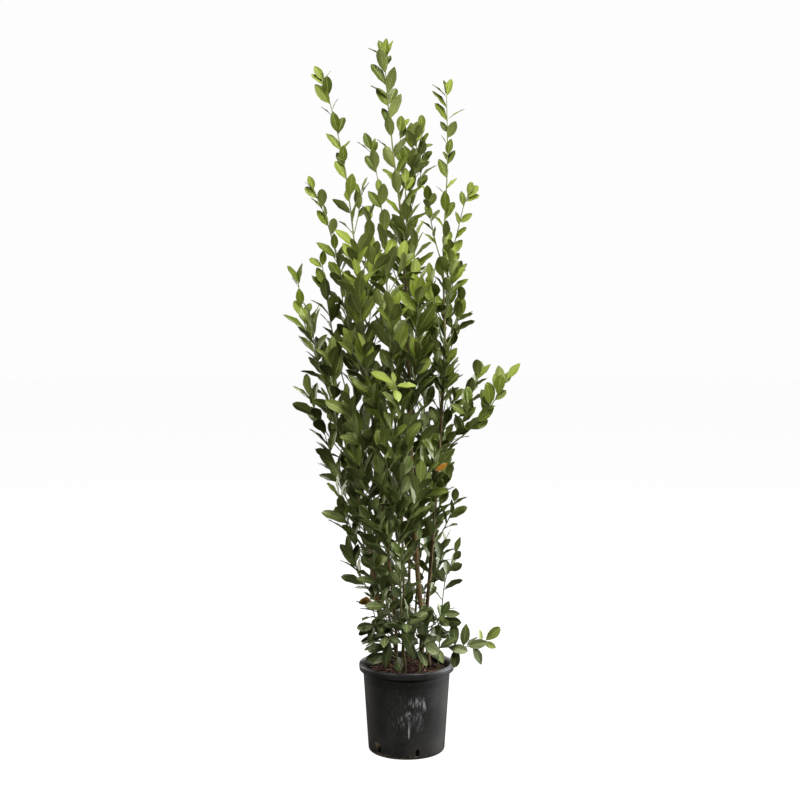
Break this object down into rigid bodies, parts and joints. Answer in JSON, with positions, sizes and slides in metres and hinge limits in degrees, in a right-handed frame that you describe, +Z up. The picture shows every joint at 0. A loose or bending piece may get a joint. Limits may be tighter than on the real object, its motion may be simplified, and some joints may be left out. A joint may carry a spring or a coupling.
{
  "type": "bay laurel in a pot",
  "caption": "Upright bay laurel shrub: leafy stems that rise together from the soil of a round tapered nursery pot with a rolled rim and drainage slots.",
  "frame": {"origin": "centre of the pot's base, on the surface that the pot stands on", "axes": "+Z up along the pot's axis, +X to the right of the plant's front, +Y towards its back"},
  "size_m": [0.6403, 0.4198, 1.9274],
  "materials": {
    "pot_plastic": "satin black moulded plastic, a little scuffed",
    "potting_soil": "dry red-brown bark and coir mix",
    "bay_foliage": "leathery evergreen leaves with a soft sheen, on green to brown stems"
  },
  "bodies": {
    "root": {"pot": "pot_plastic", "soil": "potting_soil", "stem_far_left": "bay_foliage", "stem_left": "bay_foliage", "stem_left_tall": "bay_foliage", "stem_middle_front": "bay_foliage", "stem_tallest": "bay_foliage", "stem_middle_back": "bay_foliage", "stem_right_tall": "bay_foliage", "stem_right": "bay_foliage", "stem_back_left": "bay_foliage", "stem_back_right": "bay_foliage", "stem_front": "bay_foliage", "stem_low_right": "bay_foliage", "stem_trailing": "bay_foliage"}
  },
  "joints": []
}
